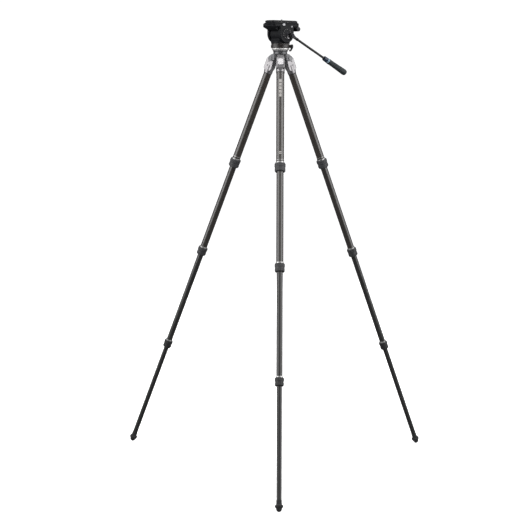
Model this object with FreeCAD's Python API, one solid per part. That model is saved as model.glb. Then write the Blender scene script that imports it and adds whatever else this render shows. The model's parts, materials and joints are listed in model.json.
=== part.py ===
import FreeCAD, Part
import math
import os

# Columnless four-section tripod with a flat-based fluid head, in millimetres, +Z up.
# The origin lies on the tripod's axis, on the plane that its three feet stand on.
# The front leg points along -Y; the head looks along HEAD_AZIMUTH.

# ---- driving dimensions: legs -------------------------------------------------------------
LEG_AZIMUTHS = {"front": -90.0, "right": 30.0, "left": 150.0}
LEG_ANGLE = 22.5           # angle of each open leg from the vertical, degrees
PIVOT_RADIUS = 30.5        # tripod axis to each leg pivot
FOOT_BALL_S = 1700.5       # pivot to the centre of the foot's rounded end, along the leg
FOOT_BALL_R = 11.0
TUBE_R = (15.3, 13.4, 11.4, 9.5)      # outer radius of each carbon section
TUBE_WALL = 1.3
LOCK_S = (439.2, 825.5, 1249.0)       # pivot to the middle of each twist lock
COLLAR_R = (21.0, 19.1, 17.2)
COLLAR_LENGTH = (33.0, 32.0, 31.0)
SEAT_DEPTH = 14.0          # how far a collar reaches over the threaded end of its tube
INSERTION = 48.0           # how much of an extended section stays inside the one above
RUN_CLEAR = 0.05           # radial clearance of a running fit

# ---- driving dimensions: hub --------------------------------------------------------------
HUB_R = 26.5
HUB_FLANGE_R = 29.0
HUB_FLANGE_T = 3.0
HUB_BOTTOM = 1588.0
HUB_CORE_R = 15.0
HUB_CORE_BOTTOM = 1572.0
HUB_TOP = 1612.0
EAR_R = 10.5
EAR_INNER = 15.8           # half the gap between a pair of ears
EAR_OUTER = 22.0
TONGUE_HALF = 15.5         # half the width of a leg casting
BARREL_R = 9.5
PIVOT_BOLT_R = 4.0
DISC_R = 33.0
HEAD_BASE = 1620.7         # top of the platform disc, where the head sits
PLATFORM_SCREW_R = 4.7     # 3/8 inch screw

# ---- driving dimensions: fluid head, in its own frame (X forward, Y left, Z up) -------------
HEAD_AZIMUTH = 218.0
PAN_BASE_R = 36.5
PAN_BASE_H = 17.0
SPINDLE_R = 14.0
SPINDLE_TOP = 27.0
TILT_Z = 53.0              # height of the tilt axis above the head's base
DRUM_R = 30.0
DRUM_HALF = 26.5
CHEEK_R = 34.0
CHEEK_IN = 27.0
CHEEK_OUT = 40.0
AXLE_R = 6.0
PLATE_X = (-67.0, 60.0)
PLATE_HALF = 25.0
PLATE_Z = (95.6, 102.6)
PAD_T = 1.5
CAMERA_SCREW_X = -5.0
CAMERA_SCREW_R = 3.175     # 1/4 inch screw
CAMERA_SCREW_REACH = 4.5
CAMERA_NECK_R = 2.6        # undercut that keeps the screw in the plate
KNOB_AZIMUTH = 132.0       # where the pan lock sits round the base
PAN_KNOB_Z = 7.0
CLAMP_X, CLAMP_Z = -50.0, 71.7
BUTTON_X, BUTTON_Z = 14.0, 87.5
LEVER_X, LEVER_Z = -7.0, 35.5
ROSETTE_X, ROSETTE_Z = -16.0, 45.8
HANDLE_Y = 50.0
HANDLE_DROP = 27.0         # angle of the pan handle below the horizontal, degrees
HANDLE_LENGTH = 306.0
HANDLE_BAR_R = 4.5

PIVOT_HEIGHT = FOOT_BALL_S * math.cos(math.radians(LEG_ANGLE)) + FOOT_BALL_R

V = FreeCAD.Vector
X_AXIS = V(1, 0, 0)
Y_AXIS = V(0, 1, 0)
Z_AXIS = V(0, 0, 1)
ORIGIN = V(0, 0, 0)


# ---- small shape helpers ------------------------------------------------------------------
def cylinder(radius, start, end, axis=Z_AXIS, at=ORIGIN):
    """A cylinder along axis, from start to end measured along it, through the point at."""
    return Part.makeCylinder(radius, end - start, at + axis * start, axis)


def ring(outer, inner, start, end, axis=Z_AXIS, at=ORIGIN):
    return cylinder(outer, start, end, axis, at).cut(cylinder(inner, start, end, axis, at))


def block(x, y, z):
    """A box between the given pairs of limits."""
    return Part.makeBox(x[1] - x[0], y[1] - y[0], z[1] - z[0], V(x[0], y[0], z[0]))


def prism(corners, along, start, end):
    """Extrude a polygon. Its corners are (x, z) along "y", (y, z) along "x", (x, y) along "z"."""
    place = {
        "x": lambda a, b: V(start, a, b),
        "y": lambda a, b: V(a, start, b),
        "z": lambda a, b: V(a, b, start),
    }[along]
    way = {"x": X_AXIS, "y": Y_AXIS, "z": Z_AXIS}[along]
    points = [place(a, b) for a, b in corners]
    face = Part.Face(Part.makePolygon(points + points[:1]))
    return face.extrude(way * (end - start))


def lathe(corners, down=False):
    """Turn a closed (radius, height) outline about Z; with down, heights are distances below 0."""
    sign = -1 if down else 1
    points = [V(r, 0, sign * h) for r, h in corners]
    face = Part.Face(Part.makePolygon(points + points[:1]))
    return face.revolve(ORIGIN, Z_AXIS, 360)


def rounded(shape, radius, chosen):
    """Fillet the edges that chosen(edge) accepts."""
    return shape.makeFillet(radius, [e for e in shape.Edges if chosen(e)])


def runs_along(axis):
    """Accept straight edges parallel to axis."""
    def test(edge):
        if not isinstance(edge.Curve, (Part.Line, Part.LineSegment)):
            return False
        way = edge.Vertexes[-1].Point - edge.Vertexes[0].Point
        return abs(abs(way.normalize().dot(axis)) - 1) < 1e-6
    return test


def lies_at(axis, value):
    """Accept edges whose every vertex is at one coordinate along axis."""
    return lambda edge: all(abs(v.Point.dot(axis) - value) < 1e-4 for v in edge.Vertexes)


def joined(shapes):
    whole = shapes[0]
    for shape in shapes[1:]:
        whole = whole.fuse(shape)
    return whole.removeSplitter()


def group(solids):
    return Part.makeCompound(solids)


# ---- placing ------------------------------------------------------------------------------
def on_leg(shape, azimuth):
    """Put a shape built round the pivot, its leg straight down and outward along +X, on the tripod."""
    placed = shape.copy()
    placed.rotate(ORIGIN, Y_AXIS, -LEG_ANGLE)
    placed.rotate(ORIGIN, Z_AXIS, azimuth)
    turn = math.radians(azimuth)
    corner = V(PIVOT_RADIUS * math.cos(turn), PIVOT_RADIUS * math.sin(turn), PIVOT_HEIGHT)
    placed.translate(corner)
    return placed


def on_head(shape):
    """Put a shape built in the head's frame on the platform disc."""
    placed = shape.copy()
    placed.rotate(ORIGIN, Z_AXIS, HEAD_AZIMUTH)
    placed.translate(V(0, 0, HEAD_BASE))
    return placed


def turned(shape, azimuth):
    placed = shape.copy()
    placed.rotate(ORIGIN, Z_AXIS, azimuth)
    return placed


# ---- leg: casting and angle tab -------------------------------------------------------------
CASTING_END = 60.0         # lower end of the casting's socket
SOCKET_START = 30.0
SOCKET_R = 16.6
CASTING_FACE = 19.0        # leg axis to the casting's outer face
CASTING_TOP = 9.5
CASTING_SLOPE = 45.0       # where the outer face starts to slope into the socket
CASTING_SHOULDER = (19.0, -7.05)      # where the sloping top meets the outer face
TAB_FLOOR = 16.3           # bottom of the recess that the tab lies in
TAB_HALF = 12.3
TAB_FACE = 20.0
TAB_TOP = 12.3
TAB_SLOPE_X = 3.5          # upper end of the tab's sloping face
TAB_SHOULDER = -4.0        # lower end of it
TAB_GROOVE = (-7.3, -5.8)
TAB_END = 36.1
TAB_NOSE_X = 1.0
TAB_STEM_R = 4.0
TAB_STEM_S = 17.0
TAB_GAP = 0.3


def leg_casting():
    """Yoke that swings on the hub: barrel, flat outer face with the tab's recess, tube socket."""
    barrel = cylinder(BARREL_R, -TONGUE_HALF, TONGUE_HALF, Y_AXIS)
    yoke_side = [
        (0, CASTING_TOP), (2.3, CASTING_TOP), CASTING_SHOULDER, (CASTING_FACE, -CASTING_SLOPE),
        (10, -50), (-12, -46), (-14.5, -35), (-BARREL_R, 0),
    ]
    yoke = prism(yoke_side, "y", -TONGUE_HALF, TONGUE_HALF)
    yoke = rounded(yoke, 4.0, lambda e: runs_along(Z_AXIS)(e) and e.Vertexes[0].X > 0)
    socket = cylinder(SOCKET_R, -CASTING_END, -SOCKET_START + 3)
    socket = socket.makeChamfer(1.0, [e for e in socket.Edges if lies_at(Z_AXIS, -CASTING_END)(e)])
    half = TONGUE_HALF - 2
    facet = prism(
        [(-half, -34), (half, -34), (half - 1, -42), (4, -56), (0, -58), (-4, -56), (-half + 1, -42)],
        "x", 4, CASTING_FACE)
    slope = prism([(CASTING_FACE, -CASTING_SLOPE), (30, -CASTING_SLOPE), (30, -66),
                   (SOCKET_R - 0.4, -66), (SOCKET_R - 0.4, -59)],
                  "y", -20, 20)
    body = joined([barrel, yoke, socket, facet.cut(slope)])
    recess = block((TAB_FLOOR, 30), (-TAB_HALF - TAB_GAP, TAB_HALF + TAB_GAP),
                   (-TAB_END + TAB_HALF, 30))
    recess_end = cylinder(TAB_HALF + TAB_GAP, TAB_FLOOR, 30, X_AXIS, V(0, 0, -TAB_END + TAB_HALF))
    stem_bore = cylinder(TAB_STEM_R + RUN_CLEAR, 2, 30, X_AXIS, V(0, 0, -TAB_STEM_S))
    tube_bore = cylinder(TUBE_R[0], -CASTING_END, -SOCKET_START)
    pivot_bore = cylinder(PIVOT_BOLT_R + RUN_CLEAR, -TONGUE_HALF, TONGUE_HALF, Y_AXIS)
    for hole in (recess, recess_end, stem_bore, tube_bore, pivot_bore):
        body = body.cut(hole)
    return body


def angle_tab():
    """Pull-out stop with a sloping head: its nose bears on the hub when the leg is open."""
    back = TAB_FLOOR + TAB_GAP
    nose_z = CASTING_TOP + TAB_GAP
    side_view = [
        (back, -TAB_END), (TAB_FACE, -TAB_END), (TAB_FACE, TAB_SHOULDER), (TAB_SLOPE_X, TAB_TOP),
        (TAB_NOSE_X, TAB_TOP), (TAB_NOSE_X, nose_z), (TAB_SLOPE_X + 0.5, nose_z),
        (back, TAB_SHOULDER + 1.1),
    ]
    outline = block((-5, 25), (-TAB_HALF, TAB_HALF), (-TAB_END + TAB_HALF, TAB_TOP))
    arch = cylinder(TAB_HALF, -5, 25, X_AXIS, V(0, 0, -TAB_END + TAB_HALF))
    plate = prism(side_view, "y", -TAB_HALF, TAB_HALF).common(joined([outline, arch]))
    plate = rounded(plate, 0.8, lies_at(X_AXIS, TAB_FACE))
    groove = block((TAB_FACE - 1.0, TAB_FACE + 1), (-TAB_HALF - 1, TAB_HALF + 1), TAB_GROOVE)
    stem = cylinder(TAB_STEM_R, 9, back + 1, X_AXIS, V(0, 0, -TAB_STEM_S))
    return joined([plate.cut(groove), stem])


# ---- leg: tubes and twist locks -------------------------------------------------------------
def collar_top(lock):
    return LOCK_S[lock] - COLLAR_LENGTH[lock] / 2


def tube_end(lock):
    """Lower end of the tube above a lock."""
    return collar_top(lock) + SEAT_DEPTH


FOOT_TUBE_END = FOOT_BALL_S - 12
SHIM_T = 0.35
SHIM_LENGTH = 26.0
SHIM_TURN = 160.0


def leg_tube(section):
    """Carbon tube, with two thin anti-twist shims round the top of each sliding one."""
    radius = TUBE_R[section]
    top = SOCKET_START if section == 0 else tube_end(section - 1) - INSERTION
    bottom = tube_end(section) if section < 3 else FOOT_TUBE_END
    solids = [ring(radius, radius - TUBE_WALL, -bottom, -top)]
    if section > 0:
        outline = [(radius, top + 1), (radius + SHIM_T, top + 1),
                   (radius + SHIM_T, top + 1 + SHIM_LENGTH), (radius, top + 1 + SHIM_LENGTH)]
        points = [V(r, 0, -s) for r, s in outline]
        face = Part.Face(Part.makePolygon(points + points[:1]))
        shim = face.revolve(ORIGIN, Z_AXIS, SHIM_TURN)
        solids += [turned(shim, 10), turned(shim, 190)]
    return group(solids)


SEAT_FLANGE = 4.5
SEAT_LIFT = 0.3
COLLET_LENGTH = 12.0


def lock_seat(lock):
    """Threaded metal seat bonded round the tube's end, and the split collet below it."""
    tube_r = TUBE_R[lock]
    inner_r = TUBE_R[lock + 1]
    top = collar_top(lock) - SEAT_FLANGE
    flange_r = tube_r + 2.0
    thread_r = tube_r + 1.3
    seat = lathe([
        (tube_r, top), (flange_r - 0.6, top), (flange_r, top + 0.6),
        (flange_r, collar_top(lock) - SEAT_LIFT), (thread_r, collar_top(lock) - SEAT_LIFT),
        (thread_r, tube_end(lock)), (tube_r, tube_end(lock)),
    ], down=True)
    collet = ring(inner_r + 1.6, inner_r + RUN_CLEAR, -tube_end(lock) - COLLET_LENGTH, -tube_end(lock))
    slit = block((0, 40), (-0.6, 0.6), (-tube_end(lock) - COLLET_LENGTH, -tube_end(lock) - 2))
    return group([seat, collet.cut(slit)])


def lock_collar(lock):
    """Rubber-covered twist collar with two swellings and a waist."""
    top = collar_top(lock)
    length = COLLAR_LENGTH[lock]
    big = COLLAR_R[lock]
    waist = big - 1.4
    profile = [
        (big - 2.4, top), (big - 0.9, top + 1.2), (big, top + 0.20 * length),
        (big - 0.2, top + 0.34 * length), (waist, top + 0.46 * length),
        (waist, top + 0.56 * length), (big - 0.6, top + 0.66 * length),
        (big - 0.6, top + 0.84 * length), (big - 2.6, top + length - 1.0), (big - 3.6, top + length),
    ]
    lip_r = TUBE_R[lock + 1] + 0.4
    cavity_r = TUBE_R[lock + 1] + 1.9
    thread_r = TUBE_R[lock] + 1.4
    inside = [
        (lip_r, top + length), (lip_r, top + length - 5), (cavity_r, top + length - 5),
        (cavity_r, tube_end(lock) + 0.5), (thread_r, tube_end(lock) + 0.5), (thread_r, top),
    ]
    return lathe(profile + inside, down=True)


def foot():
    """Rubber foot: sleeve over the tube's end, flange, taper and rounded sole."""
    centre = FOOT_BALL_S
    side_angle = math.radians(32)
    touch_r = FOOT_BALL_R * math.cos(side_angle)
    touch_s = centre + FOOT_BALL_R * math.sin(side_angle)
    outline = [
        (0, centre - 12), (TUBE_R[3], centre - 12), (TUBE_R[3], centre - 30), (11.0, centre - 30),
        (11.8, centre - 28.5), (12.1, centre - 13), (13.9, centre - 11.5), (14.5, centre - 9.5),
        (14.5, centre - 6), (13.6, centre - 4.2), (touch_r, touch_s), (0, touch_s),
    ]
    cup = lathe(outline, down=True)
    ball = Part.makeSphere(FOOT_BALL_R, V(0, 0, -centre))
    return joined([cup, ball.cut(block((-20, 20), (-20, 20), (-centre, -centre + 20)))])


# ---- hub ------------------------------------------------------------------------------------
HUB_PLATE_BOTTOM = 1600.0
HUB_CAVITY_R = 12.6
STOP_HALF = 12.0
SCREW_HEAD_R = 12.0
SCREW_HEAD_T = 5.0
SCREW_TOP = 10.5           # how far the platform screw stands above the disc
PORT_R = 4.6
PORT_Z = 1604.0


def hub():
    """Turned spider with three clevises, a stop pad over each, and a plate for the platform screw."""
    spider = cylinder(HUB_R, HUB_BOTTOM, HUB_TOP - HUB_FLANGE_T)
    spider = spider.fuse(lathe([
        (0, HUB_TOP - 7), (HUB_R - 1.5, HUB_TOP - 7), (HUB_FLANGE_R, HUB_TOP - HUB_FLANGE_T),
        (HUB_FLANGE_R, HUB_TOP - 0.6), (HUB_FLANGE_R - 0.6, HUB_TOP), (0, HUB_TOP),
    ]))
    shapes = [spider, cylinder(HUB_CORE_R, HUB_CORE_BOTTOM, HUB_BOTTOM + 1)]
    lean = EAR_R * math.sqrt(0.5)
    web = [
        (8, HUB_BOTTOM + 10), (HUB_R - 1, HUB_BOTTOM + 10), (PIVOT_RADIUS + lean, PIVOT_HEIGHT + lean),
        (PIVOT_RADIUS - lean, PIVOT_HEIGHT - lean), (8, HUB_CORE_BOTTOM + 4),
    ]
    for azimuth in LEG_AZIMUTHS.values():
        for start, end in ((EAR_INNER, EAR_OUTER), (-EAR_OUTER, -EAR_INNER)):
            ear = prism(web, "y", start, end)
            eye = cylinder(EAR_R, start, end, Y_AXIS, V(PIVOT_RADIUS, 0, PIVOT_HEIGHT))
            shapes.append(turned(ear.fuse(eye), azimuth))
        stop = block((14, HUB_R), (-STOP_HALF, STOP_HALF), (HUB_BOTTOM, HUB_BOTTOM + 12))
        shapes.append(turned(stop, azimuth))
    body = joined(shapes)
    body = body.cut(cylinder(HUB_CAVITY_R, HUB_CORE_BOTTOM, HUB_PLATE_BOTTOM))
    body = body.cut(cylinder(PLATFORM_SCREW_R + 0.3, HUB_PLATE_BOTTOM, HUB_TOP))
    for azimuth in LEG_AZIMUTHS.values():
        pivot = V(PIVOT_RADIUS, 0, PIVOT_HEIGHT)
        swing = cylinder(BARREL_R + 0.6, -EAR_INNER, EAR_INNER, Y_AXIS, pivot)
        bore = cylinder(PIVOT_BOLT_R, -EAR_OUTER, EAR_OUTER, Y_AXIS, pivot)
        port = cylinder(PORT_R, HUB_R - 5, HUB_R + 2, X_AXIS, V(0, 0, PORT_Z))
        for hole in (swing, bore, port):
            body = body.cut(turned(hole, azimuth))
    return body


def leg_pivot_bolts():
    """One bolt with its nut through each clevis."""
    bolts = []
    pivot = V(PIVOT_RADIUS, 0, PIVOT_HEIGHT)
    for azimuth in LEG_AZIMUTHS.values():
        shank = cylinder(PIVOT_BOLT_R, -EAR_OUTER, EAR_OUTER, Y_AXIS, pivot)
        socket = cylinder(2.5, EAR_OUTER + 1, EAR_OUTER + 2.5, Y_AXIS, pivot)
        caps = [cylinder(6.0, EAR_OUTER, EAR_OUTER + 2.5, Y_AXIS, pivot).cut(socket),
                cylinder(6.0, -EAR_OUTER - 2.5, -EAR_OUTER, Y_AXIS, pivot)]
        bolts.append(turned(joined([shank] + caps), azimuth))
    return group(bolts)


def platform_disc():
    """Bright flat disc that the head is screwed down on."""
    bore = PLATFORM_SCREW_R + 0.3
    return lathe([
        (bore, HUB_TOP), (DISC_R - 3.6, HUB_TOP), (DISC_R, HUB_TOP + 4), (DISC_R, HEAD_BASE - 0.7),
        (DISC_R - 0.7, HEAD_BASE), (bore, HEAD_BASE),
    ])


def platform_screw():
    """Screw from under the hub through the disc into the head."""
    shank = cylinder(PLATFORM_SCREW_R, HUB_PLATE_BOTTOM, HEAD_BASE + SCREW_TOP)
    head = cylinder(SCREW_HEAD_R, HUB_PLATE_BOTTOM - SCREW_HEAD_T, HUB_PLATE_BOTTOM)
    hexagon = [(4 * math.cos(math.radians(60 * k)), 4 * math.sin(math.radians(60 * k)))
               for k in range(6)]
    key = prism(hexagon, "z", HUB_PLATE_BOTTOM - SCREW_HEAD_T, HUB_PLATE_BOTTOM - 1.5)
    return shank.fuse(head).removeSplitter().cut(key)


# ---- fluid head: base and housing -------------------------------------------------------------
BUBBLE_AZIMUTH = -128.0
BUBBLE_REACH = 43.0
BUBBLE_R = 5.0


def pan_base():
    """Fixed base of the head, with the pan spindle and a boss for the level."""
    base = lathe([
        (0, 0), (PAN_BASE_R - 1.2, 0), (PAN_BASE_R, 1.2), (PAN_BASE_R, 11.5), (PAN_BASE_R - 1.5, 13),
        (PAN_BASE_R - 1.5, PAN_BASE_H - 1), (PAN_BASE_R - 2.5, PAN_BASE_H), (SPINDLE_R, PAN_BASE_H),
        (SPINDLE_R, SPINDLE_TOP), (0, SPINDLE_TOP),
    ])
    boss = cylinder(BUBBLE_R + 2, 5, 13.5, Z_AXIS, V(BUBBLE_REACH, 0, 0))
    bridge = block((30, BUBBLE_REACH), (-BUBBLE_R - 2, BUBBLE_R + 2), (5, 13.5))
    boss = turned(boss.fuse(bridge), BUBBLE_AZIMUTH)
    seat = turned(cylinder(BUBBLE_R, 9.5, 14, Z_AXIS, V(BUBBLE_REACH, 0, 0)), BUBBLE_AZIMUTH)
    lock_boss = block((30, 39.5), (-9, 9), (0.5, 12.5))
    lock_boss = turned(rounded(lock_boss, 3, runs_along(X_AXIS)), KNOB_AZIMUTH)
    lock_bore = turned(cylinder(3 + RUN_CLEAR, 28, 42, X_AXIS, V(0, 0, PAN_KNOB_Z)), KNOB_AZIMUTH)
    screw_bore = cylinder(PLATFORM_SCREW_R + 0.06, 0, SCREW_TOP + 1.5)
    body = joined([base, boss, lock_boss])
    for hole in (seat, lock_bore, screw_bore):
        body = body.cut(hole)
    return body


def bubble_level():
    """Round level in the base."""
    vial = cylinder(BUBBLE_R - RUN_CLEAR, 9.5, 14, Z_AXIS, V(BUBBLE_REACH, 0, 0))
    return turned(vial, BUBBLE_AZIMUTH)


def pan_lock_knob():
    """Screw knob with a drooping, inward-swept wing that clamps the pan spindle."""
    at = V(0, 0, PAN_KNOB_Z)
    shaft = cylinder(3, 29, 41, X_AXIS, at)
    head = cylinder(7.0, 40, 49, X_AXIS, at)
    head = head.makeChamfer(1.0, [e for e in head.Edges if lies_at(X_AXIS, 49)(e)])
    swept = [(42, 2), (49, 2), (48.5, -6), (42, -18), (38, -19.8), (34.8, -19.3), (34.4, -16.5),
             (35.8, -12.6), (40.2, -11.6), (40.2, -6)]
    flag = prism(swept, "y", -5.5, 5.5)
    flag.translate(at)
    return turned(joined([shaft, head, flag]), KNOB_AZIMUTH)


CAVITY_R = 21.0
CAVITY_HALF = 20.0


def head_housing():
    """Drum housing that turns on the base and carries the tilt axle and drag parts."""
    at = V(0, 0, TILT_Z)
    drum = cylinder(DRUM_R, -DRUM_HALF, DRUM_HALF, Y_AXIS, at)
    drum = drum.makeFillet(1.5, [e for e in drum.Edges if isinstance(e.Curve, Part.Circle)])
    waist_side = [(-30, PAN_BASE_H + TAB_GAP), (30, PAN_BASE_H + TAB_GAP), (30, 23), (25.5, 31), (24.3, 36),
                  (28.5, 46), (0, 51), (-28.5, 46), (-24.3, 36), (-25.5, 31), (-30, 23)]
    waist = prism(waist_side, "y", -DRUM_HALF, DRUM_HALF)
    neck = cylinder(PAN_BASE_R - 4, PAN_BASE_H + TAB_GAP, 24)
    neck = neck.common(block((-40, 40), (-DRUM_HALF, DRUM_HALF), (0, 40)))
    body = joined([drum, waist.common(cylinder(36, 0, 60)), neck])
    holes = [
        cylinder(CAVITY_R, -CAVITY_HALF, CAVITY_HALF, Y_AXIS, at),
        cylinder(AXLE_R + RUN_CLEAR, -DRUM_HALF, DRUM_HALF, Y_AXIS, at),
        cylinder(SPINDLE_R + RUN_CLEAR, 0, SPINDLE_TOP + 0.5),
    ]
    for hole in holes:
        body = body.cut(hole)
    return body


DISC_COUNT = 8
DRAG_DISC_T = 1.3
DRAG_DISC_STEP = 2.1


def drag_discs():
    """Stack of discs that shear the damping grease."""
    at = V(0, 0, TILT_Z)
    discs = []
    for k in range(DISC_COUNT):
        start = 1.5 + k * DRAG_DISC_STEP
        outer = CAVITY_R - 0.6 if k % 2 else CAVITY_R - 3.5
        discs.append(ring(outer, AXLE_R + 0.5, start, start + DRAG_DISC_T, Y_AXIS, at))
    return group(discs)


SPRING_R = 13.0
SPRING_WIRE_R = 1.3
SPRING_PITCH = 3.4
SPRING_TURNS = 4.5


def counterbalance_spring():
    """Torsion coil round the tilt axle."""
    helix = Part.makeHelix(SPRING_PITCH, SPRING_PITCH * SPRING_TURNS, SPRING_R)
    circle = Part.Wire(Part.makeCircle(SPRING_WIRE_R, V(SPRING_R, 0, 0), Y_AXIS))
    coil = Part.Wire(helix).makePipeShell([circle], True, True)
    coil.rotate(ORIGIN, X_AXIS, 90)
    coil.translate(V(0, -1.8, TILT_Z))
    return coil


# ---- fluid head: tilting parts ----------------------------------------------------------------
CHANNEL_FLOOR = 90.0
CHANNEL_HALF = 26.0
JAW_TOP = 95.3
JAW_HALF = 23.0


def tilt_cradle():
    """U-shaped cradle: two round cheeks under a bevelled platform with a dovetail channel."""
    at = V(0, 0, TILT_Z)
    cheeks = []
    for side in (1, -1):
        low, high = sorted((side * CHEEK_IN, side * CHEEK_OUT))
        cheek = cylinder(CHEEK_R, low, high, Y_AXIS, at)
        cheek = joined([cheek, block((-CHEEK_R, CHEEK_R), (low, high), (TILT_Z, 84))])
        cheek = rounded(cheek, 3.0, lies_at(Y_AXIS, side * CHEEK_OUT))
        dial = cylinder(21, *sorted((side * CHEEK_OUT, side * (CHEEK_OUT + 1.6))), Y_AXIS, at)
        cheeks.append(cheek.cut(block((-50, 50), (-60, 60), (82, 90))).fuse(dial))
    side_view = [
        (-63, 78), (-67, 81), (-67, 89), (-64, 92), (-59, JAW_TOP), (48, JAW_TOP), (54, 93),
        (62, 85.5), (63, 82), (59, 78.5), (36, 66), (-36, 66),
    ]
    end_view = [
        (-36, 82), (-36, 88.5), (-31, JAW_TOP), (31, JAW_TOP), (36, 88.5), (36, 82), (31, 74),
        (29, 60), (-29, 60), (-31, 74),
    ]
    slab = prism(side_view, "y", -40, 40).common(prism(end_view, "x", -80, 80))
    plan = rounded(block((-67, 63), (-36, 36), (50, 100)), 13.0, runs_along(Z_AXIS))
    slab = slab.common(plan)
    boss = block((CLAMP_X - 10, CLAMP_X + 10), (14, 35.4), (CLAMP_Z - 8.5, 84))
    boss = rounded(boss, 4.0, lambda e: runs_along(Y_AXIS)(e) and e.Vertexes[0].Z < 70)
    body = joined(cheeks + [slab, boss])
    channel = prism(
        [(-CHANNEL_HALF, CHANNEL_FLOOR), (CHANNEL_HALF, CHANNEL_FLOOR),
         (JAW_HALF, JAW_TOP), (JAW_HALF, JAW_TOP + 5), (-JAW_HALF, JAW_TOP + 5), (-JAW_HALF, JAW_TOP)],
        "x", -90, 90)
    holes = [
        channel,
        cylinder(DRUM_R + 0.6, -CHEEK_IN, CHEEK_IN, Y_AXIS, at),
        cylinder(AXLE_R, -CHEEK_OUT, CHEEK_OUT, Y_AXIS, at),
        cylinder(3 + RUN_CLEAR, 18, 40, Y_AXIS, V(CLAMP_X, 0, CLAMP_Z)),
        button_blank(TAB_GAP, 28, 40),
        cylinder(3 + RUN_CLEAR, -45, -30, Y_AXIS, V(LEVER_X, 0, LEVER_Z)),
    ]
    for hole in holes:
        body = body.cut(hole)
    return body


BUTTON_HALF_X = 6.3
BUTTON_HALF_Z = 4.6


def button_blank(gap, start, end):
    """Round-ended button shape along Y, larger all round by gap."""
    half_x = BUTTON_HALF_X + gap
    half_z = BUTTON_HALF_Z + gap
    flat = half_x - half_z
    ends = [cylinder(half_z, start, end, Y_AXIS, V(BUTTON_X + k * flat, 0, BUTTON_Z)) for k in (-1, 1)]
    middle = block((BUTTON_X - flat, BUTTON_X + flat), (start, end), (BUTTON_Z - half_z, BUTTON_Z + half_z))
    return joined([middle] + ends)


def plate_release_button():
    """Spring button that lets the plate slide out of its channel."""
    return rounded(button_blank(0, 31, 38.6), 0.9, lies_at(Y_AXIS, 38.6))


def tilt_axle():
    """Cross shaft that the cradle swings on."""
    return cylinder(AXLE_R, -CHEEK_OUT, CHEEK_OUT, Y_AXIS, V(0, 0, TILT_Z))


def tilt_lock_lever():
    """Drooping lever on the right cheek that clamps the tilt movement."""
    at = V(LEVER_X, 0, LEVER_Z)
    shaft = cylinder(3, -43, -32, Y_AXIS, at)
    head = cylinder(7.0, -48, -42, Y_AXIS, at)
    head = head.makeChamfer(1.0, [e for e in head.Edges if lies_at(Y_AXIS, -48)(e)])
    outline = [(-4.6, 2), (4.6, 2), (3.8, -14.5), (1.5, -17), (-1.5, -17), (-3.8, -14.5)]
    flag = prism(outline, "y", -47.4, -43.2)
    flag.rotate(ORIGIN, Y_AXIS, -14)
    flag.translate(at)
    return joined([shaft, head, flag])


def quick_release_plate():
    """Sliding camera plate with a dovetail foot."""
    top = block(PLATE_X, (-PLATE_HALF, PLATE_HALF), PLATE_Z)
    top = rounded(top, 9.0, runs_along(Z_AXIS))
    top = top.makeChamfer(1.8, [e for e in top.Edges if lies_at(Z_AXIS, PLATE_Z[1])(e)])
    foot_half = CHANNEL_HALF - TAB_GAP
    neck_half = JAW_HALF - TAB_GAP
    dovetail = prism(
        [(-foot_half, CHANNEL_FLOOR + TAB_GAP), (foot_half, CHANNEL_FLOOR + TAB_GAP),
         (neck_half, JAW_TOP), (neck_half, PLATE_Z[0] + 1), (-neck_half, PLATE_Z[0] + 1),
         (-neck_half, JAW_TOP)],
        "x", PLATE_X[0] + 6, PLATE_X[1] - 6)
    body = joined([top, dovetail])
    at = V(CAMERA_SCREW_X, 0, 0)
    body = body.cut(cylinder(9, 80, 96.5, Z_AXIS, at))
    return body.cut(cylinder(CAMERA_SCREW_R + RUN_CLEAR, 96, 110, Z_AXIS, at))


def plate_pads():
    """Rubber pad let into the top of the camera plate."""
    pad = block((PLATE_X[0] + 5, PLATE_X[1] - 5), (-PLATE_HALF + 4, PLATE_HALF - 4),
                (PLATE_Z[1], PLATE_Z[1] + PAD_T))
    pad = rounded(pad, 5.0, runs_along(Z_AXIS))
    return pad.cut(cylinder(9.5, 90, 120, Z_AXIS, V(CAMERA_SCREW_X, 0, 0)))


def camera_screw():
    """Quarter-inch camera screw with a slotted head under the plate."""
    at = V(CAMERA_SCREW_X, 0, 0)
    neck_top = PLATE_Z[1] + 0.4
    top = PLATE_Z[1] + PAD_T + CAMERA_SCREW_REACH
    neck = cylinder(CAMERA_NECK_R, 96, neck_top + 0.1, Z_AXIS, at)
    thread = cylinder(CAMERA_SCREW_R, neck_top, top, Z_AXIS, at)
    thread = thread.makeChamfer(0.5, [e for e in thread.Edges if lies_at(Z_AXIS, top)(e)])
    head = cylinder(8.4, 91.2, 96.2, Z_AXIS, at)
    slot = block((CAMERA_SCREW_X - 10, CAMERA_SCREW_X + 10), (-0.9, 0.9), (91, 92.8))
    return joined([neck, thread, head.cut(slot)])


def plate_clamp_knob():
    """Knurled knob that clamps the camera plate."""
    at = V(CLAMP_X, 0, CLAMP_Z)
    shaft = cylinder(3, 20, 38, Y_AXIS, at)
    head = cylinder(8.5, 37, 49, Y_AXIS, at)
    head = head.makeChamfer(1.2, [e for e in head.Edges if isinstance(e.Curve, Part.Circle)])
    for k in range(12):
        turn = math.radians(30 * k)
        flute = cylinder(1.3, 37, 49, Y_AXIS, at + V(9.2 * math.cos(turn), 0, 9.2 * math.sin(turn)))
        head = head.cut(flute)
    return joined([shaft, head])


# ---- pan handle ---------------------------------------------------------------------------------
ROSETTE_R = 9.8
ROSETTE_FACE = 46.0
EYE_Y = (46.3, 54.0)
GRIP_START = 180.0
GRIP_SLEEVE = 208.0


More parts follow.
